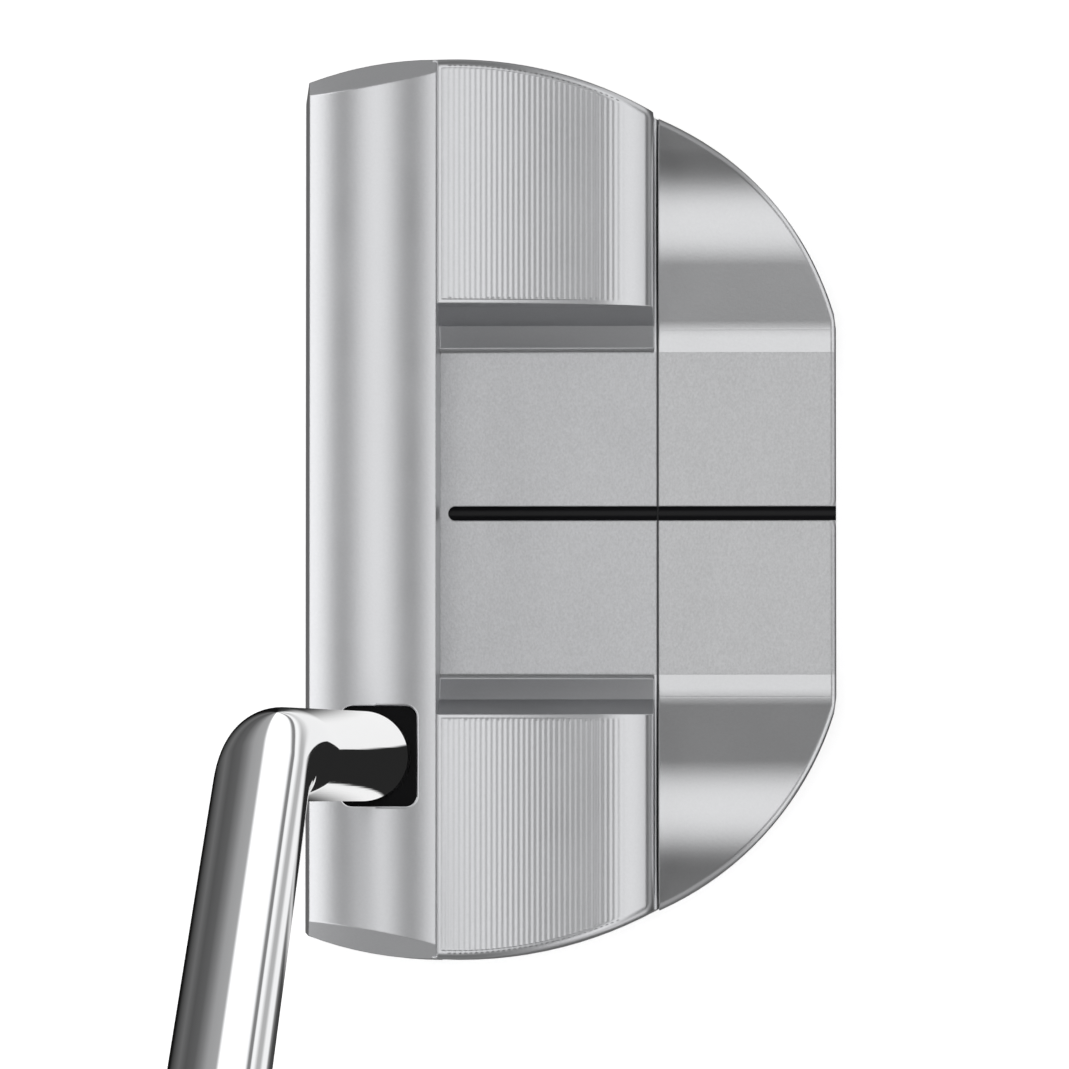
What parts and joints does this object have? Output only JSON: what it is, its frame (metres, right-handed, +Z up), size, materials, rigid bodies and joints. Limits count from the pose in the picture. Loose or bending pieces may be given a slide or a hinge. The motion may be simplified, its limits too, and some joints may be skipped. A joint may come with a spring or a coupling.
{
  "type": "mallet putter",
  "caption": "Right-handed mallet putter: a milled two-piece head with ribbed wings, an open channel and a sight line, a bent steel shaft and a rubber grip.",
  "frame": {"origin": "middle of the flat sole on the sight-line plane, half-way between the face's top edge and the back edge", "axes": "+X from the face to the back edge, +Y from heel to toe, +Z up, with the club held at address"},
  "size_m": [0.0705, 0.3562, 0.8303],
  "materials": {
    "body_alloy": "fine bead blast, satin, with milled grooves on the wings",
    "flange_steel": "fine bead blast, satin",
    "gasket": "matt",
    "fasteners": "plain turned",
    "weights": "turned face",
    "line_paint": "glossy paint fill",
    "collar": "semi-gloss",
    "epoxy": "cured resin",
    "plug": "matt",
    "shaft_chrome": "bright chrome plate",
    "tape": "crepe paper tape",
    "grip_rubber": "moulded rubber with fine pattern",
    "cap_rubber": "moulded, satin"
  },
  "bodies": {
    "root": {"head_body": "body_alloy", "rear_flange": "flange_steel", "damping_gasket": "gasket", "flange_screws": "fasteners", "toe_weight": "weights", "heel_weight": "weights", "sight_line_front": "line_paint", "sight_line_rear": "line_paint", "shaft_collar": "collar", "shaft_bond": "epoxy", "tip_plug": "plug", "shaft": "shaft_chrome", "grip_tape": "tape", "grip": "grip_rubber", "grip_cap": "cap_rubber"}
  },
  "joints": []
}
